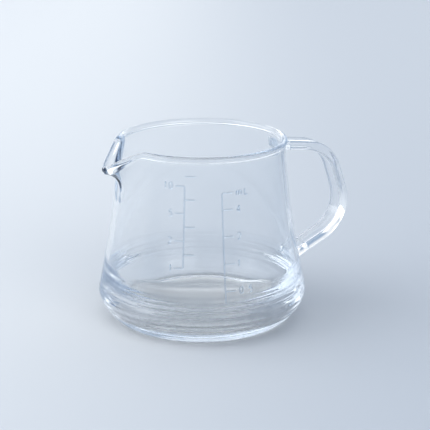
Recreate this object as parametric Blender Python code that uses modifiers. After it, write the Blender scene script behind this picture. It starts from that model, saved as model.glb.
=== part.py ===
"""A glass jug beaker: one lathe-shaped vessel with a pouring lip, a bar handle welded on
at two places, and two raised scales.

Frame: the origin is the centre of the flat underside and +Z is up. The handle is on the
+X side and the pouring lip on the -X side. Lengths are metres. An outline point is
(distance from the axis, height).
"""

import math

import bmesh
import bpy
from mathutils import Vector

NAME = "beaker"
MM = 0.001
GAP = 0.3 * MM  # clearance between two pieces that are fused on the real object

# Vessel: overall sizes
HEIGHT = 87.05 * MM
RIM_RADIUS = 40.5 * MM
RIM_BEAD_RADIUS = 1.5 * MM
NECK_RADIUS = 39.45 * MM
BELLY_RADIUS = 49.8 * MM  # where the foot's round meets the tapering wall
BELLY_HEIGHT = 14.5 * MM
REST_RADIUS = 41.3 * MM  # the flat ring and disc it stands on

# Vessel: wall and base
WALL = 2.2 * MM
BASE = 5.4 * MM
FLOOR_RADIUS = 37.4 * MM
FLOOR_STEP = 0.3 * MM
FLOOR_STEP_WIDTH = 2.1 * MM
BOWL_DEPTH = 57.5 * MM  # below the rim, where the heavy base has thinned to the wall
BOWL_LEAD = 0.33  # how long the bowl's curve follows the wall
TAPER_BULGE = 0.38  # how much the wall's lower part is steeper than its neck
TAPER_POWER = 2.5

# Pouring lip, pressed out of the wall and the rim
LIP_DEPTH = 28.0 * MM
LIP_REACH = 9.9 * MM
LIP_DROP = 10.3 * MM
LIP_PINCH = 0.45 * MM
LIP_HALF_ANGLE = math.radians(37.0)
LIP_RIDGE_ROUND = math.radians(1.5)
LIP_SAG_SHARE = 0.72  # part of the half angle over which the rim sags

# Handle: a rounded flat bar
HANDLE_WIDTH = 11.4 * MM
HANDLE_THICKNESS = 4.5 * MM
HANDLE_EDGE = 1.3 * MM
UPPER_CORNER = 18.0 * MM
LOWER_CORNER = 19.6 * MM
UPPER_ARM_DROP = 7.1 * MM  # the upper arm's centre line below the rim, at the wall
UPPER_ARM_REACH = 26.4 * MM
UPPER_ARM_FALL = math.radians(6.0)
LOWER_ARM_HEIGHT = 24.0 * MM
LOWER_ARM_REACH = 30.2 * MM
LOWER_ARM_RISE = math.radians(27.5)
UPPER_WELD_LENGTH = 4.1 * MM
LOWER_WELD_LENGTH = 7.2 * MM
WELD_FLARE = 1.16

# Scales: raised glass lines and figures on the outside of the wall
MARK_RELIEF = 0.35 * MM
LINE_WIDTH = 0.75 * MM
FIGURE_HEIGHT = 3.8 * MM
FIGURE_WIDTH = 2.4 * MM
FIGURE_SPACE = 0.75 * MM
FIGURE_SIZES = {  # the figures whose box differs: width and height
    "1": (1.3 * MM, 3.8 * MM),
    ".": (0.7 * MM, 0.7 * MM),
    "m": (3.3 * MM, 2.8 * MM),
}
LEFT_SCALE_ANGLE = math.radians(236.7)
LEFT_SCALE_DROP = 13.0 * MM
LEFT_SCALE_BOTTOM = 37.0 * MM
BRIM_TICK_DROP = 8.6 * MM
LEFT_TICK = 4.4 * MM
MINOR_TICK = 5.0 * MM
LEFT_CLEARANCE = 0.9 * MM
LEFT_FIGURES = (("ten", "10"), ("five", "5"), ("two", "2"), ("one", "1"))
RIGHT_SCALE_ANGLE = math.radians(260.5)
RIGHT_SCALE_DROP = 16.3 * MM
RIGHT_UNIT_STEP = 7.6 * MM
RIGHT_SCALE_BOTTOM = 26.5 * MM
RIGHT_SCALE_TAIL = 5.5 * MM
RIGHT_TICK = 5.0 * MM
RIGHT_UNIT = "mL"
RIGHT_FIGURES = (("four", "4"), ("two", "2"), ("one", "1"), ("half", "0.5"))
RIGHT_CLEARANCE = 1.4 * MM

# Facets
LATHE_STEPS = 80
BEAD_STEP = math.radians(30.0)
CORNER_STEPS = 8
FIGURE_STEPS = 3

# Worked out from the sizes above
NECK_HEIGHT = HEIGHT - 2.4 * RIM_BEAD_RADIUS
BEAD_CENTRE = Vector((RIM_RADIUS - RIM_BEAD_RADIUS, HEIGHT - RIM_BEAD_RADIUS))
TAPER_SLOPE = (1 + TAPER_BULGE) * (NECK_RADIUS - BELLY_RADIUS) / (NECK_HEIGHT - BELLY_HEIGHT)


def bezier(start, lead_out, lead_in, end, steps):
    """Points after the start of a cubic curve, its end included."""
    points = []
    for step in range(1, steps + 1):
        t = step / steps
        s = 1 - t
        points.append(s**3 * start + 3 * s * s * t * lead_out + 3 * s * t * t * lead_in + t**3 * end)
    return points


def wall_radius(height):
    """The outside of the tapering wall, from the belly up to the neck."""
    share = (height - BELLY_HEIGHT) / (NECK_HEIGHT - BELLY_HEIGHT)
    share = min(max(share, 0.0), 1.0)
    fall = (1 + TAPER_BULGE) * share - TAPER_BULGE * share**TAPER_POWER
    return BELLY_RADIUS + (NECK_RADIUS - BELLY_RADIUS) * fall


def heights(low, high, count):
    return [low + (high - low) * step / count for step in range(count + 1)]


def inside_outline():
    """From the floor's centre, over its two shallow steps and up the bowl to the rim."""
    points = [Vector((0.0, BASE))]
    for step in range(2):
        radius = FLOOR_RADIUS - (2 - step) * FLOOR_STEP_WIDTH
        points.append(Vector((radius, BASE + step * FLOOR_STEP)))
        points.append(Vector((radius + 2 * FLOOR_STEP, BASE + (step + 1) * FLOOR_STEP)))
    floor_edge = Vector((FLOOR_RADIUS, BASE + 2 * FLOOR_STEP))
    bowl_height = HEIGHT - BOWL_DEPTH
    bowl_top = Vector((wall_radius(bowl_height) - WALL, bowl_height))
    lead = BOWL_LEAD * (bowl_height - BASE)
    rise = Vector((0.88, 1.0)) * lead / 3
    along_wall = Vector((TAPER_SLOPE, 1.0)) * lead
    points.append(floor_edge)
    points += bezier(floor_edge, floor_edge + rise, bowl_top - along_wall, bowl_top, 6)
    for height in heights(bowl_height, NECK_HEIGHT, 6)[1:]:
        points.append(Vector((wall_radius(height) - WALL, height)))
    return points


def bead_outline():
    """The round of the rim, from its inner side over the top to where it meets the wall."""
    points = []
    for step in range(9):
        angle = math.pi - step * BEAD_STEP
        points.append(BEAD_CENTRE + RIM_BEAD_RADIUS * Vector((math.cos(angle), math.sin(angle))))
    return points


def outside_outline(grow=0.0):
    """Down the wall, round the foot and in to the centre of the underside."""
    points = []
    for height in reversed(heights(BELLY_HEIGHT, NECK_HEIGHT, 9)):
        points.append(Vector((wall_radius(height) + grow, height)))
    belly = points[-1]
    rest = Vector((REST_RADIUS + grow, 0.0))
    lead = 0.45 * BELLY_HEIGHT
    foot = Vector((0.2 * (belly.x - rest.x), 0.0))
    points += bezier(belly, belly - Vector((TAPER_SLOPE, 1)) * lead, rest + foot, rest, 8)
    points.append(Vector((0.0, 0.0)))
    return points


def lip_move(point):
    """Where the pouring lip carries a point of the round vessel."""
    rise = (point.z - (HEIGHT - LIP_DEPTH)) / (NECK_HEIGHT - (HEIGHT - LIP_DEPTH))
    rise = min(rise, 1.0)
    radius = math.hypot(point.x, point.y)
    if rise <= 0 or radius == 0:
        return point
    half_angle = LIP_HALF_ANGLE * rise**0.6
    angle = math.atan2(point.y, -point.x)
    blunt = math.hypot(angle, LIP_RIDGE_ROUND * rise)
    if blunt >= half_angle:
        return point
    near = 1 - blunt / half_angle
    reach = LIP_REACH * (0.8 * rise**3 + 0.2 * rise**12)
    pinch = LIP_PINCH * rise**0.5 * math.sin(math.pi * near)
    sag = max(0.0, 1 - blunt / (half_angle * LIP_SAG_SHARE))
    radius += reach * near**2.25 - pinch
    height = point.z - LIP_DROP * rise**1.5 * sag**1.45
    return Vector((-radius * math.cos(angle), radius * math.sin(angle), height))


def clear_scene():
    for item in list(bpy.data.objects):
        bpy.data.objects.remove(item, do_unlink=True)


def collection(name):
    group = bpy.data.collections.new(name)
    bpy.context.scene.collection.children.link(group)
    return group


def glass(name, colour, roughness):
    material = bpy.data.materials.new(name)
    material.use_nodes = True
    shader = material.node_tree.nodes["Principled BSDF"]
    shader.inputs["Base Color"].default_value = (*colour, 1.0)
    shader.inputs["Roughness"].default_value = roughness
    shader.inputs["Metallic"].default_value = 0.0
    shader.inputs["IOR"].default_value = 1.47
    shader.inputs["Transmission Weight"].default_value = 1.0
    return material


def add(name, mesh, group, material=None):
    piece = bpy.data.objects.new(name, mesh)
    group.objects.link(piece)
    if material:
        piece.data.materials.clear()
        piece.data.materials.append(material)
    return piece


def make_mesh(item):
    """The mesh of an object as its modifiers leave it, its loose caps welded; the object goes."""
    bpy.context.view_layer.update()
    mesh = bpy.data.meshes.new_from_object(item.evaluated_get(bpy.context.evaluated_depsgraph_get()))
    shape = bmesh.new()
    shape.from_mesh(mesh)
    bmesh.ops.transform(shape, matrix=item.matrix_world, verts=shape.verts)
    bmesh.ops.remove_doubles(shape, verts=shape.verts, dist=1e-6)
    bmesh.ops.recalc_face_normals(shape, faces=shape.faces)
    shape.to_mesh(mesh)
    shape.free()
    bpy.data.objects.remove(item, do_unlink=True)
    return mesh


def lathe(name, outline, group):
    """A solid turned round Z from an outline that starts and ends on the axis."""
    profile = bpy.data.meshes.new(name)
    edges = [(index, index + 1) for index in range(len(outline) - 1)]
    profile.from_pydata([(point.x, 0.0, point.y) for point in outline], edges, [])
    turned = add(name, profile, group)
    screw = turned.modifiers.new("Turn", "SCREW")
    screw.steps = LATHE_STEPS
    screw.render_steps = LATHE_STEPS
    screw.use_merge_vertices = True
    screw.merge_threshold = 1e-5
    return make_mesh(turned)


def smooth(mesh, angle):
    mesh.shade_smooth()
    mesh.set_sharp_from_angle(angle=math.radians(angle))


def build_vessel(parts, material):
    mesh = lathe("vessel", inside_outline() + bead_outline() + outside_outline(), parts)
    for vertex in mesh.vertices:
        vertex.co = lip_move(vertex.co)
    smooth(mesh, 40)
    return add("vessel", mesh, parts, material)


def polyline(name, points, group, cyclic=False, widths=None):
    curve = bpy.data.curves.new(name, "CURVE")
    curve.dimensions = "3D"
    line = curve.splines.new("POLY")
    line.points.add(len(points) - 1)
    for index, point in enumerate(points):
        line.points[index].co = (*point, 1.0)
        line.points[index].radius = widths[index] if widths else 1.0
    line.use_cyclic_u = cyclic
    return add(name, curve, group)


def bar_section(cutters):
    """The bar's rounded cross-section, as the profile that its curves follow."""
    points = []
    half_width = HANDLE_WIDTH / 2 - HANDLE_EDGE
    half_thickness = HANDLE_THICKNESS / 2 - HANDLE_EDGE
    for corner, (x, y) in enumerate(((1, 1), (-1, 1), (-1, -1), (1, -1))):
        for step in range(4):
            angle = math.radians(90 * corner + 30 * step)
            points.append((
                x * half_width + HANDLE_EDGE * math.cos(angle),
                y * half_thickness + HANDLE_EDGE * math.sin(angle),
                0.0,
            ))
    section = polyline("bar_section", points, cutters, cyclic=True)
    section.hide_render = True
    section.display_type = "WIRE"
    return section


def bar(name, path, section, parts, widths=None):
    """A bar of the handle's section along a path of (distance, height) points."""
    curve = polyline(name, [(point.x, 0.0, point.y) for point in path], parts, widths=widths)
    curve.data.bevel_mode = "OBJECT"
    curve.data.bevel_object = section
    curve.data.use_fill_caps = True
    curve.data.twist_mode = "MINIMUM"
    return make_mesh(curve)


def handle_corners():
    """The ends of the handle's centre line on the wall, and the two corners between them."""
    upper = Vector((wall_radius(HEIGHT - UPPER_ARM_DROP), HEIGHT - UPPER_ARM_DROP))
    lower = Vector((wall_radius(LOWER_ARM_HEIGHT), LOWER_ARM_HEIGHT))
    upper_corner = upper + UPPER_ARM_REACH * Vector((1, -math.tan(UPPER_ARM_FALL)))
    lower_corner = lower + LOWER_ARM_REACH * Vector((1, math.tan(LOWER_ARM_RISE)))
    return upper, upper_corner, lower_corner, lower


def rounded_corner(before, corner, after, radius):
    """The arc that rounds one corner of the centre line."""
    back = (before - corner).normalized()
    ahead = (after - corner).normalized()
    half = back.angle(ahead) / 2
    centre = corner + (back + ahead).normalized() * radius / math.sin(half)
    start = corner + back * radius / math.tan(half) - centre
    end = corner + ahead * radius / math.tan(half) - centre
    sweep = start.angle(end)
    points = []
    for step in range(CORNER_STEPS + 1):
        turn = sweep * step / CORNER_STEPS
        points.append(centre + (start * math.sin(sweep - turn) + end * math.sin(turn)) / math.sin(sweep))
    return points


def build_handle(parts, cutters, material):
    section = bar_section(cutters)
    upper, upper_corner, lower_corner, lower = handle_corners()
    out = (upper_corner - upper).normalized()
    down = (lower_corner - lower).normalized()
    path = [upper + out * UPPER_WELD_LENGTH]
    path += rounded_corner(upper, upper_corner, lower_corner, UPPER_CORNER)
    path += rounded_corner(upper_corner, lower_corner, lower, LOWER_CORNER)
    path.append(lower + down * LOWER_WELD_LENGTH)
    mesh = bar("handle", path, section, parts)
    smooth(mesh, 40)
    add("handle", mesh, parts, material)
    build_weld("upper_weld", upper, out, UPPER_WELD_LENGTH, section, parts, cutters, material)
    build_weld("lower_weld", lower, down, LOWER_WELD_LENGTH, section, parts, cutters, material)


def build_weld(name, wall_point, direction, length, section, parts, cutters, material):
    """The gather of glass between the wall and one end of the bar, flared at the wall."""
    inner = wall_point - direction * 2 * WALL
    outer = wall_point + direction * (length - GAP)
    path = [inner, wall_point, wall_point.lerp(outer, 0.35), outer]
    mesh = bar(name, path, section, parts, widths=(WELD_FLARE, WELD_FLARE, 1.0, 1.0))
    weld = add(name, mesh, parts, material)
    rim = [Vector((0.0, HEIGHT)), Vector((NECK_RADIUS + GAP, HEIGHT))]
    wall = add(name + "_wall", lathe(name + "_wall", rim + outside_outline(GAP), cutters), cutters)
    wall.hide_render = True
    wall.display_type = "WIRE"
    cut = weld.modifiers.new("Wall", "BOOLEAN")
    cut.operation = "DIFFERENCE"
    cut.solver = "EXACT"
    cut.object = wall


def wrap_on_wall(mesh, angle):
    """Bends a flat mark (X along the wall, Y up, Z out of it) on to the outside of the wall."""
    for vertex in mesh.vertices:
        along, height, out = vertex.co
        radius = wall_radius(height)
        turn = angle + along / radius
        radius += GAP + MARK_RELIEF / 2 + out
        vertex.co = (radius * math.cos(turn), radius * math.sin(turn), height)


def build_line(name, outline, angle, parts, material):
    """A raised line with its ticks, from its flat outline."""
    curve = bpy.data.curves.new(name, "CURVE")
    curve.dimensions = "2D"
    curve.fill_mode = "BOTH"
    curve.extrude = MARK_RELIEF / 2
    edge = curve.splines.new("POLY")
    edge.points.add(len(outline) - 1)
    for index, (along, height) in enumerate(outline):
        edge.points[index].co = (along, height, 0.0, 1.0)
    edge.use_cyclic_u = True
    mesh = make_mesh(add(name, curve, parts))
    wrap_on_wall(mesh, angle)
    add(name, mesh, parts, material)


def comb_outline(bottom, top, left_ticks, left_length, right_ticks, right_length):
    """A vertical line with ticks to its left and right, as one closed outline."""
    half = LINE_WIDTH / 2
    points = []
    for side, ticks, length in ((1, right_ticks, right_length), (-1, left_ticks, left_length)):
        run = [(half, bottom)]
        for height in sorted(ticks):
            low = max(height - half, bottom)
            high = min(height + half, top)
            if low == bottom:
                run.pop()
            else:
                run.append((half, low))
            run += [(length, low), (length, high)]
            run.append((half, high))
        if run[-1][1] == top:
            run.pop()
        else:
            run.append((half, top))
        points += run if side > 0 else [(-along, height) for along, height in reversed(run)]
    return points


def build_figure(name, character, height, centre, angle, parts, material):
    """One raised figure, scaled evenly to its height and centred on a point of the wall."""
    text = bpy.data.curves.new(name, "FONT")
    text.body = character
    text.resolution_u = FIGURE_STEPS
    text.extrude = MARK_RELIEF / 2
    mesh = make_mesh(add(name, text, parts))
    low = [min(vertex.co[axis] for vertex in mesh.vertices) for axis in range(2)]
    high = [max(vertex.co[axis] for vertex in mesh.vertices) for axis in range(2)]
    scale = height / (high[1] - low[1])
    for vertex in mesh.vertices:
        for axis in range(2):
            vertex.co[axis] = centre[axis] + (vertex.co[axis] - (low[axis] + high[axis]) / 2) * scale
    wrap_on_wall(mesh, angle)
    add(name, mesh, parts, material)


def build_label(prefix, label, start, middle, angle, parts, material):
    """A short row of figures on one base line, reading to the right from its start."""
    along = start
    for place, character in enumerate(label):
        width, height = FIGURE_SIZES.get(character, (FIGURE_WIDTH, FIGURE_HEIGHT))
        centre = (along + width / 2, middle - (FIGURE_HEIGHT - height) / 2)
        spoken = "point" if character == "." else character.lower()
        name = f"{prefix}_{spoken}" if len(label) > 1 else prefix
        build_figure(name, character, height, centre, angle, parts, material)
        along += width + FIGURE_SPACE


def label_width(label):
    widths = [FIGURE_SIZES.get(character, (FIGURE_WIDTH, FIGURE_HEIGHT))[0] for character in label]
    return sum(widths) + FIGURE_SPACE * (len(label) - 1)


def build_left_scale(parts, material):
    top = HEIGHT - LEFT_SCALE_DROP
    majors = heights(LEFT_SCALE_BOTTOM, top, len(LEFT_FIGURES) - 1)
    minors = [(low + high) / 2 for low, high in zip(majors, majors[1:])]
    outline = comb_outline(LEFT_SCALE_BOTTOM - LINE_WIDTH / 2, top + LINE_WIDTH / 2,
                           majors, LEFT_TICK, minors, MINOR_TICK)
    build_line("left_scale_line", outline, LEFT_SCALE_ANGLE, parts, material)
    brim = HEIGHT - BRIM_TICK_DROP
    half = LINE_WIDTH / 2
    tick = [(-half, brim - half), (MINOR_TICK, brim - half), (MINOR_TICK, brim + half), (-half, brim + half)]
    build_line("left_brim_tick", tick, LEFT_SCALE_ANGLE, parts, material)
    for (name, label), height in zip(LEFT_FIGURES, reversed(majors)):
        start = -LEFT_TICK - LEFT_CLEARANCE - label_width(label)
        build_label("left_" + name, label, start, height, LEFT_SCALE_ANGLE, parts, material)


def build_right_scale(parts, material):
    top = HEIGHT - RIGHT_SCALE_DROP
    first = top - RIGHT_UNIT_STEP
    ticks = heights(RIGHT_SCALE_BOTTOM, first, len(RIGHT_FIGURES) - 1)
    outline = comb_outline(RIGHT_SCALE_BOTTOM - RIGHT_SCALE_TAIL, top + LINE_WIDTH / 2,
                           [], 0.0, ticks + [top], RIGHT_TICK)
    build_line("right_scale_line", outline, RIGHT_SCALE_ANGLE, parts, material)
    start = RIGHT_TICK + RIGHT_CLEARANCE
    build_label("right_unit", RIGHT_UNIT, start, top, RIGHT_SCALE_ANGLE, parts, material)
    for (name, label), height in zip(RIGHT_FIGURES, reversed(ticks)):
        build_label("right_" + name, label, start, height, RIGHT_SCALE_ANGLE, parts, material)


def main():
    clear_scene()
    parts = collection(NAME)
    cutters = collection("cutters")
    clear_glass = glass("clear_glass", (0.93, 0.96, 0.98), 0.0)
    mark_glass = glass("mark_glass", (0.86, 0.90, 0.95), 0.25)
    build_vessel(parts, clear_glass)
    build_handle(parts, cutters, clear_glass)
    build_left_scale(parts, mark_glass)
    build_right_scale(parts, mark_glass)


main()
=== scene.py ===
"""The looks of the glass beaker: its glass surfaces, raised marks, floor, light and camera."""
import math

import bmesh
import bpy
import numpy as np
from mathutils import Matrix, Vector


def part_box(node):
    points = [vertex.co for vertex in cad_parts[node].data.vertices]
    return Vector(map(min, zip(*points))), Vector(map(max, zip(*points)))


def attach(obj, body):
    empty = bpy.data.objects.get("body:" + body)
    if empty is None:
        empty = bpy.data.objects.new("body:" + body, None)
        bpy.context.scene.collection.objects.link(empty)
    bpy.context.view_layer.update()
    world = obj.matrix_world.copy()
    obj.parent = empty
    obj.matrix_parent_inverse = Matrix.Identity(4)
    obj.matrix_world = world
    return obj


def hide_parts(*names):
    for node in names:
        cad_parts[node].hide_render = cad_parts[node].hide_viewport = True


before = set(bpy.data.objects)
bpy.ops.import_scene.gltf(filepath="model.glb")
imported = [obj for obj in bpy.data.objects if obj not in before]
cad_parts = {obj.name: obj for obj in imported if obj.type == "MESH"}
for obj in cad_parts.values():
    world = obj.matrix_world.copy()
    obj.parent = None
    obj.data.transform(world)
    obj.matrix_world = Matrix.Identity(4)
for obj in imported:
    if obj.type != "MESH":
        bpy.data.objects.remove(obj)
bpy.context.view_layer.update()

MM = 0.001
TAU = 2 * math.pi
LOW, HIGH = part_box("vessel")

# Vessel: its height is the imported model's, and the rest repeats the sizes of its parts
HEIGHT = HIGH[2]
RIM_RADIUS = 40.5 * MM
BEAD_RADIUS = 1.5 * MM
NECK_RADIUS = 39.45 * MM
BELLY_RADIUS = 49.8 * MM
BELLY_HEIGHT = 14.5 * MM
REST_RADIUS = 41.3 * MM
WALL = 2.2 * MM
BASE = 5.4 * MM
FLOOR_RADIUS = 37.4 * MM
FLOOR_STEP = 0.3 * MM
FLOOR_STEP_WIDTH = 2.1 * MM
BOWL_DEPTH = 57.5 * MM
BOWL_LEAD = 0.33
TAPER_BULGE = 0.38
TAPER_POWER = 2.5
NECK_HEIGHT = HEIGHT - 2.4 * BEAD_RADIUS
TAPER_SLOPE = (1 + TAPER_BULGE) * (NECK_RADIUS - BELLY_RADIUS) / (NECK_HEIGHT - BELLY_HEIGHT)

# Pouring lip
LIP_DEPTH = 28.0 * MM
LIP_REACH = 9.9 * MM
LIP_DROP = 10.3 * MM
LIP_PINCH = 0.45 * MM
LIP_PINCH_INSIDE = 0.4
LIP_PINCH_OUTSIDE = 1.7
LIP_HALF_ANGLE = math.radians(37.0)
LIP_RIDGE_ROUND = math.radians(1.5)
LIP_SAG_SHARE = 0.72

# Ripples left by the mould in the heavy base
BOWL_RIPPLE = 0.075 * MM
FOOT_RIPPLE = 0.06 * MM
RIPPLE_PITCH = 3.0 * MM

# Handle
HANDLE_WIDTH = 11.4 * MM
HANDLE_THICKNESS = 4.5 * MM
HANDLE_EDGE = 1.3 * MM
UPPER_CORNER = 18.0 * MM
LOWER_CORNER = 19.6 * MM
UPPER_ARM_DROP = 7.1 * MM
UPPER_ARM_REACH = 26.4 * MM
UPPER_ARM_FALL = math.radians(6.0)
LOWER_ARM_HEIGHT = 24.0 * MM
LOWER_ARM_REACH = 30.2 * MM
LOWER_ARM_RISE = math.radians(27.5)
UPPER_WELD_LENGTH = 4.1 * MM
LOWER_WELD_LENGTH = 7.2 * MM
WELD_FLARE = 0.16
WELD_GAP = 0.04 * MM

# Scales: raised lines and figures on the outside of the wall
MARK_RELIEF = 0.3 * MM
MARK_GAP = 0.03 * MM
LINE_WIDTH = 0.8 * MM
FIGURE_HEIGHT = 3.8 * MM
FIGURE_WIDTH = 2.4 * MM
FIGURE_SPACE = 0.75 * MM
FIGURE_SIZES = {"1": (1.3 * MM, 3.8 * MM), ".": (0.8 * MM, 0.8 * MM), "m": (3.3 * MM, 2.8 * MM)}
LEFT_SCALE_ANGLE = math.radians(236.7)
LEFT_SCALE_DROP = 13.0 * MM
LEFT_SCALE_BOTTOM = 37.0 * MM
BRIM_TICK_DROP = 8.6 * MM
LEFT_TICK = 4.4 * MM
MINOR_TICK = 5.0 * MM
LEFT_CLEARANCE = 0.9 * MM
LEFT_FIGURES = (("ten", "10"), ("five", "5"), ("two", "2"), ("one", "1"))
RIGHT_SCALE_ANGLE = math.radians(260.5)
RIGHT_SCALE_DROP = 16.3 * MM
RIGHT_UNIT_STEP = 7.6 * MM
RIGHT_SCALE_BOTTOM = 26.5 * MM
RIGHT_SCALE_TAIL = 5.5 * MM
RIGHT_TICK = 5.0 * MM
RIGHT_CLEARANCE = 1.4 * MM
RIGHT_FIGURES = (("four", "4"), ("two", "2"), ("one", "1"), ("half", "0.5"))

# Glass, tinted by its depth
ABSORBED = (0.35, 0.50, 0.66)
DENSITY = 5.5

# Stage and camera
FLOOR_DROP = 0.1 * MM
FLOOR_REACH = 8.0
# Painted light and shade on the floor: its colour runs from a painted shade tone to a painted lit tone,
# lighter on the left and towards the back.
PAINTED_SHADE_FLOOR = (0.43, 0.475, 0.54)
PAINTED_LIT_FLOOR = (0.74, 0.765, 0.79)
LEFT_FADE = 0.11
BACK_FADE = 0.5
# Painted light: a pool of light painted on the floor under the foot, in place of the light the glass
# focuses there.
PAINTED_POOL_COLOUR = (0.95, 0.97, 0.99)  # under the foot
POOL_EDGE = 4 * MM
WORLD_STRENGTH = 1.07
SKY = (  # sine of the height above the horizon, and its colour
    (0.0, (0.40, 0.47, 0.565)),
    (0.15, (0.52, 0.585, 0.665)),
    (0.45, (0.86, 0.89, 0.93)),
    (1.0, (1.12, 1.12, 1.12)),
)
WINDOWS = (  # bearings to the right of straight behind, heights, softness (degrees), colour
    ((45, 118), (-8, 76), 8, (0.22, 0.31, 0.44)),
    ((128, 170), (4, 46), 6, (2.0, 2.03, 2.06)),
    ((-130, -58), (4, 74), 8, (2.1, 2.13, 2.16)),
    ((-42, 34), (13, 22), 3, (2.0, 2.03, 2.06)),
    ((-38, 42), (34, 60), 5, (0.33, 0.43, 0.57)),
    ((-75, -42), (38, 72), 5, (1.45, 1.49, 1.54)),
    ((-80, -16), (-8, 10), 4, (2.0, 2.03, 2.06)),
    ((18, 80), (-8, 12), 5, (0.22, 0.30, 0.42)),
)
# Painted shade: the floor far to the right and in front is painted darker, and the glass shows it in its
# edges.
PAINTED_FAR_SHADE = (0.34, 0.40, 0.48)
FAR_RIGHT = (0.14, 0.32)
FAR_SLANT = 0.17
FAR_FRONT = (-0.15, -0.35)
LAMP_AIM = Vector((0, 0, 45)) * MM
LIGHT_BOUNCES = 200
AZIMUTH = math.radians(-23.0)
ELEVATION = math.radians(17.15)
DISTANCE = 0.646
TARGET = Vector((5.81, -2.47, 48.45)) * MM
LENS = 112.9


# ---- shapes ---------------------------------------------------------------------------

def bezier(start, lead_out, lead_in, end, steps):
    t = np.linspace(0, 1, steps + 1)[1:, None]
    s = 1 - t
    return s**3 * start + 3 * s * s * t * lead_out + 3 * s * t * t * lead_in + t**3 * end


def wall_radius(height):
    share = np.clip((height - BELLY_HEIGHT) / (NECK_HEIGHT - BELLY_HEIGHT), 0, 1)
    fall = (1 + TAPER_BULGE) * share - TAPER_BULGE * share**TAPER_POWER
    return BELLY_RADIUS + (NECK_RADIUS - BELLY_RADIUS) * fall


def along(points, spacing):
    """Points at an even spacing along a polyline."""
    points = np.asarray(points)
    lengths = np.concatenate([[0], np.cumsum(np.linalg.norm(np.diff(points, axis=0), axis=1))])
    count = max(int(round(lengths[-1] / spacing)), 1)
    at = np.linspace(0, lengths[-1], count + 1)
    return np.column_stack([np.interp(at, lengths, points[:, axis]) for axis in range(points.shape[1])])


def rippled(points, low, high, pitch, depth):
    """Moves an outline in and out along its normal, between two places along its length."""
    steps = np.linalg.norm(np.diff(points, axis=0), axis=1)
    at = np.concatenate([[0], np.cumsum(steps)])
    tangent = np.gradient(points, axis=0)
    tangent /= np.linalg.norm(tangent, axis=1)[:, None]
    normal = np.column_stack([tangent[:, 1], -tangent[:, 0]])
    share = np.clip((at - low) / (high - low), 0, 1)
    swell = np.sin(math.pi * share) ** 0.7
    return points + normal * (depth * swell * np.sin(TAU * at / pitch))[:, None]


def floor_outline():
    points = [(0.0, BASE), (8 * MM, BASE), (20 * MM, BASE)]
    radius = FLOOR_RADIUS - 2 * FLOOR_STEP_WIDTH
    for step in range(2):
        edge = radius + step * FLOOR_STEP_WIDTH
        low = BASE + step * FLOOR_STEP
        for share in np.linspace(0, 1, 5):
            eased = share * share * (3 - 2 * share)
            points.append((edge + share * 3 * FLOOR_STEP, low + eased * FLOOR_STEP))
    return np.array(points)


def inside_outline():
    floor_edge = np.array([FLOOR_RADIUS, BASE + 2 * FLOOR_STEP])
    bowl_height = HEIGHT - BOWL_DEPTH
    bowl_top = np.array([wall_radius(bowl_height) - WALL, bowl_height])
    lead = BOWL_LEAD * (bowl_height - BASE)
    rise = np.array([0.88, 1.0]) * lead / 3
    along_wall = np.array([TAPER_SLOPE, 1.0]) * lead
    curve = bezier(floor_edge, floor_edge + rise, bowl_top - along_wall, bowl_top, 60)
    bowl = np.vstack([floor_edge, curve])
    bowl = rippled(along(bowl, 0.3 * MM), 1.5 * MM, 22 * MM, RIPPLE_PITCH, BOWL_RIPPLE)
    heights = np.linspace(bowl_height, NECK_HEIGHT, 60)[1:]
    wall = np.column_stack([wall_radius(heights) - WALL, heights])
    return np.vstack([floor_outline(), bowl, wall])


def bead_outline():
    angle = math.pi - np.linspace(0, math.radians(240), 25)
    centre = np.array([RIM_RADIUS - BEAD_RADIUS, HEIGHT - BEAD_RADIUS])
    return centre + BEAD_RADIUS * np.column_stack([np.cos(angle), np.sin(angle)])


def outside_outline():
    heights = np.linspace(NECK_HEIGHT, BELLY_HEIGHT + 12 * MM, 62)
    wall = np.column_stack([wall_radius(heights), heights])
    heights = np.linspace(heights[-1], BELLY_HEIGHT, 40)[1:]
    low_wall = np.column_stack([wall_radius(heights), heights])
    belly = low_wall[-1]
    rest = np.array([REST_RADIUS, 0.0])
    lead = 0.45 * BELLY_HEIGHT
    foot = np.array([0.2 * (belly[0] - rest[0]), 0.0])
    round_foot = bezier(belly, belly - np.array([TAPER_SLOPE, 1]) * lead, rest + foot, rest, 60)
    low = along(np.vstack([wall[-1:], low_wall, round_foot]), 0.3 * MM)
    low = rippled(low, 2 * MM, 30 * MM, RIPPLE_PITCH, FOOT_RIPPLE)
    under = np.array([(REST_RADIUS * 0.7, 0.0), (REST_RADIUS * 0.35, 0.0), (0.0, 0.0)])
    return np.vstack([wall[:-1], low, under])


def lip_move(points, pinch_share):
    """Carries the points of the round vessel to where the pouring lip puts them."""
    x, y, z = points.T
    start = HEIGHT - LIP_DEPTH
    rise = np.clip((z - start) / (NECK_HEIGHT - start), 0, 1)
    radius = np.hypot(x, y)
    half_angle = np.maximum(LIP_HALF_ANGLE * rise**0.6, 1e-6)
    angle = np.arctan2(y, -x)
    blunt = np.hypot(angle, LIP_RIDGE_ROUND * rise)
    near = np.clip(1 - blunt / half_angle, 0, 1)
    reach = LIP_REACH * (0.8 * rise**3 + 0.2 * rise**12)
    pinch = LIP_PINCH * pinch_share * rise**0.5 * np.sin(math.pi * near)
    sag = np.clip(1 - blunt / (half_angle * LIP_SAG_SHARE), 0, 1)
    moved = (rise > 0) & (near > 0)
    radius = np.where(moved, radius + reach * near**2.25 - pinch, radius)
    z = np.where(moved, z - LIP_DROP * rise**1.5 * sag**1.45, z)
    return np.column_stack([-radius * np.cos(angle), radius * np.sin(angle), z])


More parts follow.
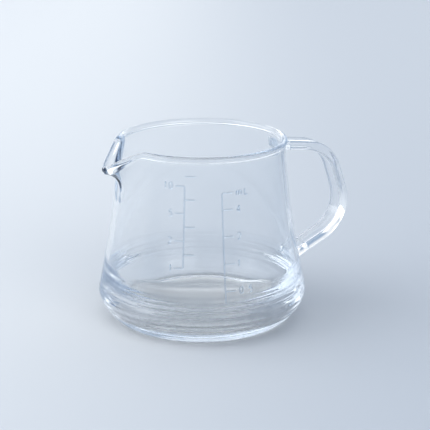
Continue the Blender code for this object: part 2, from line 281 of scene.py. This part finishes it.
def ring_mesh(name, rings):
    """A closed surface through rings of points, the ends closed to their middles."""
    count = len(rings[0])
    points = [tuple(point) for ring in rings for point in ring]
    faces = []
    for ring in range(len(rings) - 1):
        for step in range(count):
            ahead = (step + 1) % count
            a, b = ring * count, (ring + 1) * count
            faces.append((a + step, b + step, b + ahead, a + ahead))
    for ring, turn in ((0, 1), (len(rings) - 1, -1)):
        middle = len(points)
        points.append(tuple(np.mean(rings[ring], axis=0)))
        for step in range(count):
            face = (middle, ring * count + step, ring * count + (step + 1) % count)
            faces.append(face[::turn])
    mesh = bpy.data.meshes.new(name)
    mesh.from_pydata(points, [], faces)
    return tidy(mesh)


def tidy(mesh):
    shape = bmesh.new()
    shape.from_mesh(mesh)
    bmesh.ops.remove_doubles(shape, verts=shape.verts, dist=1e-7)
    bmesh.ops.recalc_face_normals(shape, faces=shape.faces)
    shape.to_mesh(mesh)
    shape.free()
    mesh.shade_smooth()
    return mesh


def piece(name, mesh, material, slot, *nodes):
    made = bpy.data.objects.new(name, mesh)
    bpy.context.scene.collection.objects.link(made)
    made.data.materials.append(material)
    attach(made, "root")
    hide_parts(*nodes)


def turns():
    """Angles round the vessel, close together at the pouring lip's ridge."""
    half = np.concatenate([
        np.arange(0, 5, 0.25), np.arange(5, 12, 0.5), np.arange(12, 40, 0.8), np.arange(40, 180, 1.0),
    ])
    return math.pi + np.radians(np.concatenate([half, [180.0], -half[:0:-1]]))


def make_vessel(material):
    inside, bead, outside = inside_outline()[1:], bead_outline(), outside_outline()[:-1]
    outline = np.vstack([inside, bead, outside])
    # The press leaves a deeper groove outside than inside.
    shares = np.interp(
        np.arange(len(outline)),
        (len(inside), len(inside) + len(bead)),
        (LIP_PINCH_INSIDE, LIP_PINCH_OUTSIDE),
    )
    turn = turns()
    rings = []
    for (radius, height), share in zip(outline, shares):
        ring = np.column_stack([radius * np.cos(turn), radius * np.sin(turn), np.full(len(turn), height)])
        rings.append(lip_move(ring, share))
    piece("glass_vessel", ring_mesh("glass_vessel", rings), material, "clear_glass", "vessel")


# ---- handle ---------------------------------------------------------------------------

def handle_corners():
    upper_height = HEIGHT - UPPER_ARM_DROP
    upper = np.array([wall_radius(upper_height), upper_height])
    lower = np.array([wall_radius(LOWER_ARM_HEIGHT), LOWER_ARM_HEIGHT])
    upper_corner = upper + UPPER_ARM_REACH * np.array([1, -math.tan(UPPER_ARM_FALL)])
    lower_corner = lower + LOWER_ARM_REACH * np.array([1, math.tan(LOWER_ARM_RISE)])
    return upper, upper_corner, lower_corner, lower


def unit(vector):
    return vector / np.linalg.norm(vector)


def rounded_corner(before, corner, after, radius, steps=30):
    back, ahead = unit(before - corner), unit(after - corner)
    half = math.acos(float(back @ ahead)) / 2
    centre = corner + unit(back + ahead) * radius / math.sin(half)
    start = corner + back * radius / math.tan(half) - centre
    end = corner + ahead * radius / math.tan(half) - centre
    sweep = math.pi - 2 * half
    turn = np.linspace(0, sweep, steps + 1)[:, None]
    return centre + (start * np.sin(sweep - turn) + end * np.sin(turn)) / math.sin(sweep)


def bar_section(steps=6):
    """Across the bar: (sideways, outwards) points round its rounded rectangle."""
    points = []
    half_width = HANDLE_WIDTH / 2 - HANDLE_EDGE
    half_thickness = HANDLE_THICKNESS / 2 - HANDLE_EDGE
    for corner, (x, y) in enumerate(((1, 1), (-1, 1), (-1, -1), (1, -1))):
        for step in range(steps + 1):
            angle = math.pi / 2 * (corner + step / steps)
            points.append((x * half_width + HANDLE_EDGE * math.cos(angle),
                           y * half_thickness + HANDLE_EDGE * math.sin(angle)))
    return np.array(points)


def bar_rings(path, scales):
    """Rings of the bar's section square to a path of (distance, height) points."""
    path = np.asarray(path)
    tangent = np.gradient(path, axis=0)
    tangent /= np.linalg.norm(tangent, axis=1)[:, None]
    section = bar_section()
    rings = []
    for (x, z), (dx, dz), scale in zip(path, tangent, scales):
        across = section[:, 1] * scale
        rings.append(np.column_stack([x - dz * across, section[:, 0] * scale, z + dx * across]))
    return rings


def round_end(rings, depth):
    """Rings that close a bar's first end with a small rounded edge."""
    first = rings[0]
    middle = first.mean(axis=0)
    back = unit(middle - rings[1].mean(axis=0))
    caps = []
    for angle in np.linspace(0, math.pi / 2, 5)[1:]:
        shrink = 1 - (1 - math.cos(angle)) * depth / (HANDLE_THICKNESS / 2)
        caps.append(middle + (first - middle) * shrink + back * depth * math.sin(angle))
    inner = caps[-1]
    for share in (0.6, 0.25):
        caps.append(inner.mean(axis=0) + (inner - inner.mean(axis=0)) * share)
    return caps[::-1]


def make_handle(material):
    upper, upper_corner, lower_corner, lower = handle_corners()
    out, down = unit(upper_corner - upper), unit(lower_corner - lower)
    depth = 0.35 * MM
    path = np.vstack([
        upper + out * (UPPER_WELD_LENGTH + depth),
        rounded_corner(upper, upper_corner, lower_corner, UPPER_CORNER),
        rounded_corner(upper_corner, lower_corner, lower, LOWER_CORNER),
        lower + down * (LOWER_WELD_LENGTH + depth),
    ])
    path = along(path, 0.8 * MM)
    rings = bar_rings(path, np.ones(len(path)))
    rings = round_end(rings, depth) + rings + round_end(rings[::-1], depth)[::-1]
    piece("glass_handle", ring_mesh("glass_handle", rings), material, "clear_glass", "handle")
    make_weld("glass_upper_weld", upper, out, UPPER_WELD_LENGTH, material, "upper_weld")
    make_weld("glass_lower_weld", lower, down, LOWER_WELD_LENGTH, material, "lower_weld")


def on_wall(ring, direction):
    """Slides the points of a ring along a direction until they touch the wall."""
    step = np.array([direction[0], 0.0, direction[1]])
    low, high = np.full(len(ring), -0.012), np.full(len(ring), 0.012)
    for _ in range(40):
        middle = (low + high) / 2
        point = ring + middle[:, None] * step
        outside = np.hypot(point[:, 0], point[:, 1]) > wall_radius(point[:, 2]) + WELD_GAP
        high = np.where(outside, middle, high)
        low = np.where(outside, low, middle)
    return ring + high[:, None] * step


def make_weld(name, wall_point, direction, length, material, node):
    shares = np.linspace(0, 1, 14)
    scales = 1 + WELD_FLARE * (1 - shares) ** 4
    centre = wall_point[None, :] + np.outer(shares, direction) * (length - WELD_GAP)
    rings = bar_rings(centre, scales)
    first = on_wall(rings[0], direction)
    blended = []
    for share, ring in zip(shares, rings):
        keep = (1 - share) ** 3
        blended.append(ring + (first - rings[0]) * keep)
    caps = []
    for share in (0.15, 0.4, 0.7, 0.93):
        ring = rings[0].mean(axis=0) + (rings[0] - rings[0].mean(axis=0)) * share
        caps.append(on_wall(ring, direction))
    ends = round_end(blended[::-1], 0.2 * MM)[::-1]
    piece(name, ring_mesh(name, caps + blended[:-1] + ends), material, "clear_glass", node)


# ---- raised marks ---------------------------------------------------------------------

def arc(centre_x, centre_y, wide, high, first, last, steps=12):
    angles = np.radians(np.linspace(first, last, steps + 1))
    return [(centre_x + wide * math.cos(t), centre_y + high * math.sin(t)) for t in angles]


# Strokes of the figures: (across, up) as shares of a figure's box
STROKES = {
    "0": [arc(0.5, 0.5, 0.5, 0.5, 90, 450, 28)],
    "1": [[(0.0, 0.76), (0.62, 1.0)], [(0.62, 1.0), (0.62, 0.0)]],
    "2": [arc(0.5, 0.72, 0.46, 0.28, 165, -35) + [(0.04, 0.0)], [(0.04, 0.0), (1.0, 0.0)]],
    "4": [[(0.74, 0.0), (0.74, 1.0)], [(0.74, 1.0), (0.0, 0.3)], [(0.0, 0.3), (1.0, 0.3)]],
    "5": [[(0.9, 1.0), (0.2, 1.0)], [(0.2, 1.0), (0.12, 0.54)], arc(0.46, 0.32, 0.5, 0.32, 135, -140)],
    "m": [[(0.0, 0.0), (0.0, 1.0)], arc(0.25, 0.7, 0.25, 0.3, 180, 0) + [(0.5, 0.0)],
          arc(0.75, 0.7, 0.25, 0.3, 180, 0) + [(1.0, 0.0)]],
    "L": [[(0.0, 1.0), (0.0, 0.0)], [(0.0, 0.0), (1.0, 0.0)]],
    ".": [[(0.4, 0.5), (0.6, 0.5)]],
}


def ridge_rings(stroke, width):
    """Rings of a half-round ridge along a stroke, in (along the wall, up, out of it)."""
    path = along(stroke, 0.16 * MM)
    tangent = np.gradient(path, axis=0)
    tangent /= np.linalg.norm(tangent, axis=1)[:, None]
    lengths = np.concatenate([[0], np.cumsum(np.linalg.norm(np.diff(path, axis=0), axis=1))])
    to_end = np.minimum(lengths, lengths[-1] - lengths)
    half = width / 2
    share = np.clip(1 - to_end / half, 0, 0.95)
    if np.allclose(path[0], path[-1]):
        share = np.zeros(len(path))
    size = np.sqrt(1 - share**2)
    angles = np.radians(np.linspace(0, 180, 9))
    rings = []
    for (x, y), (dx, dy), scale in zip(path, tangent, size):
        across = half * scale * np.cos(angles)
        out = MARK_RELIEF * scale * np.sin(angles)
        rings.append(np.column_stack([x + dy * across, y - dx * across, out]))
    return rings


def make_mark(name, strokes, angle, material):
    """A raised mark on the outside of the wall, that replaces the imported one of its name."""
    points, faces = [], []
    for stroke in strokes:
        rings = ridge_rings(stroke, LINE_WIDTH)
        count = len(rings[0])
        first = len(points)
        points += [tuple(point) for ring in rings for point in ring]
        for ring in range(len(rings) - 1):
            for step in range(count):
                ahead = (step + 1) % count
                a, b = first + ring * count, first + (ring + 1) * count
                faces.append((a + step, b + step, b + ahead, a + ahead))
        if not np.allclose(stroke[0], stroke[-1]):
            faces.append(tuple(range(first, first + count)))
            faces.append(tuple(reversed(range(len(points) - count, len(points)))))
    flat = np.array(points)
    radius = wall_radius(flat[:, 1])
    turn = angle + flat[:, 0] / radius
    radius = radius + MARK_GAP + flat[:, 2]
    points = np.column_stack([radius * np.cos(turn), radius * np.sin(turn), flat[:, 1]])
    mesh = bpy.data.meshes.new("mark_" + name)
    mesh.from_pydata([tuple(point) for point in points], [], faces)
    tidy(mesh)
    mesh.set_sharp_from_angle(angle=math.radians(60))
    piece("mark_" + name, mesh, material, "mark_glass", name)


def make_figure(name, character, left, middle, angle, material):
    width, height = FIGURE_SIZES.get(character, (FIGURE_WIDTH, FIGURE_HEIGHT))
    inset = LINE_WIDTH / 2
    low = middle - FIGURE_HEIGHT / 2
    strokes = []
    for stroke in STROKES[character]:
        strokes.append([
            (left + inset + x * (width - 2 * inset), low + inset + y * (height - 2 * inset))
            for x, y in stroke
        ])
    make_mark(name, strokes, angle, material)
    return width


def make_label(prefix, label, start, middle, angle, material):
    left = start
    for character in label:
        spoken = "point" if character == "." else character.lower()
        name = prefix + "_" + spoken if len(label) > 1 else prefix
        left += make_figure(name, character, left, middle, angle, material) + FIGURE_SPACE


def label_width(label):
    widths = [FIGURE_SIZES.get(character, (FIGURE_WIDTH, FIGURE_HEIGHT))[0] for character in label]
    return sum(widths) + FIGURE_SPACE * (len(label) - 1)


def make_scales(material):
    top = HEIGHT - LEFT_SCALE_DROP
    majors = np.linspace(LEFT_SCALE_BOTTOM, top, len(LEFT_FIGURES))
    strokes = [[(0, LEFT_SCALE_BOTTOM), (0, top)]]
    strokes += [[(-LEFT_TICK, height), (0, height)] for height in majors]
    strokes += [[(0, height), (MINOR_TICK, height)] for height in (majors[1:] + majors[:-1]) / 2]
    make_mark("left_scale_line", strokes, LEFT_SCALE_ANGLE, material)
    brim = HEIGHT - BRIM_TICK_DROP
    make_mark("left_brim_tick", [[(0, brim), (MINOR_TICK, brim)]], LEFT_SCALE_ANGLE, material)
    for (name, label), height in zip(LEFT_FIGURES, majors[::-1]):
        start = -LEFT_TICK - LEFT_CLEARANCE - label_width(label)
        make_label("left_" + name, label, start, height, LEFT_SCALE_ANGLE, material)
    top = HEIGHT - RIGHT_SCALE_DROP
    ticks = np.linspace(RIGHT_SCALE_BOTTOM, top - RIGHT_UNIT_STEP, len(RIGHT_FIGURES))
    strokes = [[(0, RIGHT_SCALE_BOTTOM - RIGHT_SCALE_TAIL), (0, top)]]
    strokes += [[(0, height), (RIGHT_TICK, height)] for height in (*ticks, top)]
    make_mark("right_scale_line", strokes, RIGHT_SCALE_ANGLE, material)
    start = RIGHT_TICK + RIGHT_CLEARANCE
    make_label("right_unit", "mL", start, top, RIGHT_SCALE_ANGLE, material)
    for (name, label), height in zip(RIGHT_FIGURES, ticks[::-1]):
        make_label("right_" + name, label, start, height, RIGHT_SCALE_ANGLE, material)


# ---- materials ------------------------------------------------------------------------

def principled(name):
    material = bpy.data.materials.new(name)
    material.use_nodes = True
    nodes = material.node_tree.nodes
    return material, nodes, material.node_tree.links, nodes["Principled BSDF"]


def wire(nodes, links, operation, *values):
    """A Math node fed by numbers or sockets; returns its result."""
    node = nodes.new("ShaderNodeMath")
    node.operation = operation
    for socket, value in zip(node.inputs, values):
        if isinstance(value, (int, float)):
            socket.default_value = value
        else:
            links.new(value, socket)
    return node.outputs[0]


def smooth_step(nodes, links, value, low, high):
    """A smooth 0 to 1 as a value goes from low to high."""
    node = nodes.new("ShaderNodeMapRange")
    node.interpolation_type = "SMOOTHSTEP"
    node.inputs["From Min"].default_value = low
    node.inputs["From Max"].default_value = high
    links.new(value, node.inputs["Value"])
    return node.outputs["Result"]


def blend(nodes, links, share, first, colour):
    """A colour mixed over another by a share."""
    node = nodes.new("ShaderNodeMix")
    node.data_type = "RGBA"
    links.new(share, node.inputs[0])
    links.new(first, node.inputs[6])
    node.inputs[7].default_value = (*colour, 1)
    return node.outputs[2]


def sideways_and_away(nodes, links, x, y):
    """Distances to the right and away along the floor, as the main view is laid out."""
    right = (math.cos(AZIMUTH), math.sin(AZIMUTH))

    def turned(across, ahead):
        return wire(nodes, links, "ADD", wire(nodes, links, "MULTIPLY", x, across),
                    wire(nodes, links, "MULTIPLY", y, ahead))

    return turned(right[0], right[1]), turned(-right[1], right[0])


def glass(name, tint, other_tint, wave, roughness, tinted_by_depth):
    material, nodes, links, shader = principled(name)
    shader.inputs["Transmission Weight"].default_value = 1.0
    shader.inputs["IOR"].default_value = 1.47
    shader.inputs["Roughness"].default_value = roughness
    place = nodes.new("ShaderNodeTexCoord")
    cloud = nodes.new("ShaderNodeTexNoise")
    cloud.inputs["Scale"].default_value = 28.0
    cloud.inputs["Detail"].default_value = 2.0
    links.new(place.outputs["Object"], cloud.inputs["Vector"])
    ramp = nodes.new("ShaderNodeValToRGB")
    ramp.color_ramp.elements[0].color = (*tint, 1)
    ramp.color_ramp.elements[1].color = (*other_tint, 1)
    links.new(cloud.outputs["Fac"], ramp.inputs["Fac"])
    links.new(ramp.outputs["Color"], shader.inputs["Base Color"])
    bump = nodes.new("ShaderNodeBump")
    bump.inputs["Strength"].default_value = 1.0
    bump.inputs["Distance"].default_value = wave
    links.new(cloud.outputs["Fac"], bump.inputs["Height"])
    links.new(bump.outputs["Normal"], shader.inputs["Normal"])
    if tinted_by_depth:
        depth = nodes.new("ShaderNodeVolumeAbsorption")
        depth.inputs["Color"].default_value = (*ABSORBED, 1)
        depth.inputs["Density"].default_value = DENSITY
        links.new(depth.outputs["Volume"], nodes["Material Output"].inputs["Volume"])
    return material


# ---- stage ----------------------------------------------------------------------------

def make_floor():
    material, nodes, links, shader = principled("floor_paper")
    shader.inputs["Roughness"].default_value = 0.9
    shader.inputs["Specular IOR Level"].default_value = 0.0
    place = nodes.new("ShaderNodeTexCoord")
    split = nodes.new("ShaderNodeSeparateXYZ")
    links.new(place.outputs["Object"], split.inputs["Vector"])
    x, y = split.outputs["X"], split.outputs["Y"]

    def math_node(operation, *values):
        return wire(nodes, links, operation, *values)

    # The paper is painted lighter on the left and towards the back, as light falling from that side, and
    # painted lighter where the foot gathers light, as a pool of light.
    sideways, away = sideways_and_away(nodes, links, x, y)
    left_part = math_node("TANH", math_node("MULTIPLY", sideways, -1 / LEFT_FADE))
    back_part = math_node("TANH", math_node("MULTIPLY", away, 1 / BACK_FADE))
    painted_falloff = math_node("ADD", math_node("MULTIPLY", left_part, 0.35), math_node("MULTIPLY", back_part, 0.25))
    ramp = nodes.new("ShaderNodeValToRGB")
    ramp.color_ramp.elements[0].color = (*PAINTED_SHADE_FLOOR, 1)
    ramp.color_ramp.elements[1].color = (*PAINTED_LIT_FLOOR, 1)
    links.new(math_node("ADD", painted_falloff, 0.45), ramp.inputs["Fac"])
    from_middle = math_node("SQRT", math_node("ADD", math_node("POWER", x, 2), math_node("POWER", y, 2)))
    # Painted light: the floor is painted lighter under the foot, as a pool of light.
    painted_pool_mask = smooth_step(nodes, links, from_middle, REST_RADIUS + POOL_EDGE, REST_RADIUS - POOL_EDGE)
    near = blend(nodes, links, painted_pool_mask, ramp.outputs["Color"], PAINTED_POOL_COLOUR)
    # Painted shade: the floor is darker far to the right and in front.
    aside = math_node("SUBTRACT", sideways, math_node("MULTIPLY", away, FAR_SLANT))
    far_right = smooth_step(nodes, links, aside, *FAR_RIGHT)
    far_front = smooth_step(nodes, links, away, *FAR_FRONT)
    far = blend(nodes, links, math_node("MAXIMUM", far_right, far_front), near, PAINTED_FAR_SHADE)
    links.new(far, shader.inputs["Base Color"])
    mesh = bpy.data.meshes.new("floor")
    reach = FLOOR_REACH
    corners = [(-reach, -reach, 0), (reach, -reach, 0), (reach, reach, 0), (-reach, reach, 0)]
    mesh.from_pydata(corners, [], [(0, 1, 2, 3)])
    floor = bpy.data.objects.new("floor", mesh)
    bpy.context.scene.collection.objects.link(floor)
    floor.location.z = -FLOOR_DROP
    mesh.materials.append(material)


def make_world():
    """A pale studio round the floor, with bright and blue-grey windows at chosen directions."""
    world = bpy.data.worlds.new("studio")
    bpy.context.scene.world = world
    world.use_nodes = True
    nodes, links = world.node_tree.nodes, world.node_tree.links
    back = nodes["Background"]
    place = nodes.new("ShaderNodeTexCoord")
    split = nodes.new("ShaderNodeSeparateXYZ")
    links.new(place.outputs["Generated"], split.inputs["Vector"])
    x, y, z = split.outputs

    def math_node(operation, *values):
        return wire(nodes, links, operation, *values)

    def step(value, low, high):
        return smooth_step(nodes, links, value, low, high)

    sideways, away = sideways_and_away(nodes, links, x, y)
    bearing = math_node("MULTIPLY", math_node("ARCTAN2", sideways, away), 180 / math.pi)
    rise = math_node("MULTIPLY", math_node("ARCSINE", z), 180 / math.pi)
    ramp = nodes.new("ShaderNodeValToRGB")
    stops = ramp.color_ramp
    for stop, (position, colour) in zip((stops.elements[0], stops.elements[1]), (SKY[0], SKY[-1])):
        stop.position = position
        stop.color = (*colour, 1)
    for position, colour in SKY[1:-1]:
        stops.elements.new(position).color = (*colour, 1)
    links.new(z, ramp.inputs["Fac"])
    colour = ramp.outputs["Color"]
    for bearings, rises, soft, tint in WINDOWS:
        part = math_node("MULTIPLY", step(bearing, bearings[0] - soft, bearings[0] + soft),
                         step(bearing, bearings[1] + soft, bearings[1] - soft))
        part = math_node("MULTIPLY", part, step(rise, rises[0] - soft, rises[0] + soft))
        part = math_node("MULTIPLY", part, step(rise, rises[1] + soft, rises[1] - soft))
        colour = blend(nodes, links, part, colour, tint)
    links.new(colour, back.inputs["Color"])
    back.inputs["Strength"].default_value = WORLD_STRENGTH


def soft_box(name, azimuth, elevation, distance, width, height, power):
    """A rectangular lamp that faces the beaker; azimuth 0 is on the camera's side."""
    light = bpy.data.lights.new(name, "AREA")
    light.shape = "RECTANGLE"
    light.size = width
    light.size_y = height
    light.energy = power
    lamp = bpy.data.objects.new(name, light)
    bpy.context.scene.collection.objects.link(lamp)
    a, e = AZIMUTH + math.radians(azimuth), math.radians(elevation)
    side = Vector((math.sin(a) * math.cos(e), -math.cos(a) * math.cos(e), math.sin(e)))
    lamp.location = LAMP_AIM + side * distance
    lamp.rotation_mode = "QUATERNION"
    lamp.rotation_quaternion = side.to_track_quat("Z", "Y")


def make_camera():
    camera = bpy.data.objects.new("camera", bpy.data.cameras.new("camera"))
    bpy.context.scene.collection.objects.link(camera)
    camera.data.lens = LENS
    back = Vector((
        math.sin(AZIMUTH) * math.cos(ELEVATION),
        -math.cos(AZIMUTH) * math.cos(ELEVATION),
        math.sin(ELEVATION),
    ))
    camera.location = TARGET + back * DISTANCE
    camera.rotation_mode = "QUATERNION"
    camera.rotation_quaternion = (-back).to_track_quat("-Z", "Y")
    camera.data.clip_end = 20.0
    bpy.context.scene.camera = camera


def main():
    make_camera()
    clear = glass("clear_glass_look", (0.965, 0.975, 0.983), (0.975, 0.983, 0.989), 0.00004, 0.0, True)
    marks = glass("mark_glass_look", (0.79, 0.84, 0.90), (0.85, 0.89, 0.93), 0.00002, 0.02, False)
    make_vessel(clear)
    make_handle(clear)
    make_scales(marks)
    make_floor()
    make_world()
    soft_box("left_box", -75, 35, 1.3, 0.3, 1.2, 0.8)
    scene = bpy.context.scene
    scene.view_settings.view_transform = "Standard"
    scene.cycles.max_bounces = LIGHT_BOUNCES
    scene.cycles.transmission_bounces = LIGHT_BOUNCES
    scene.cycles.glossy_bounces = LIGHT_BOUNCES


main()
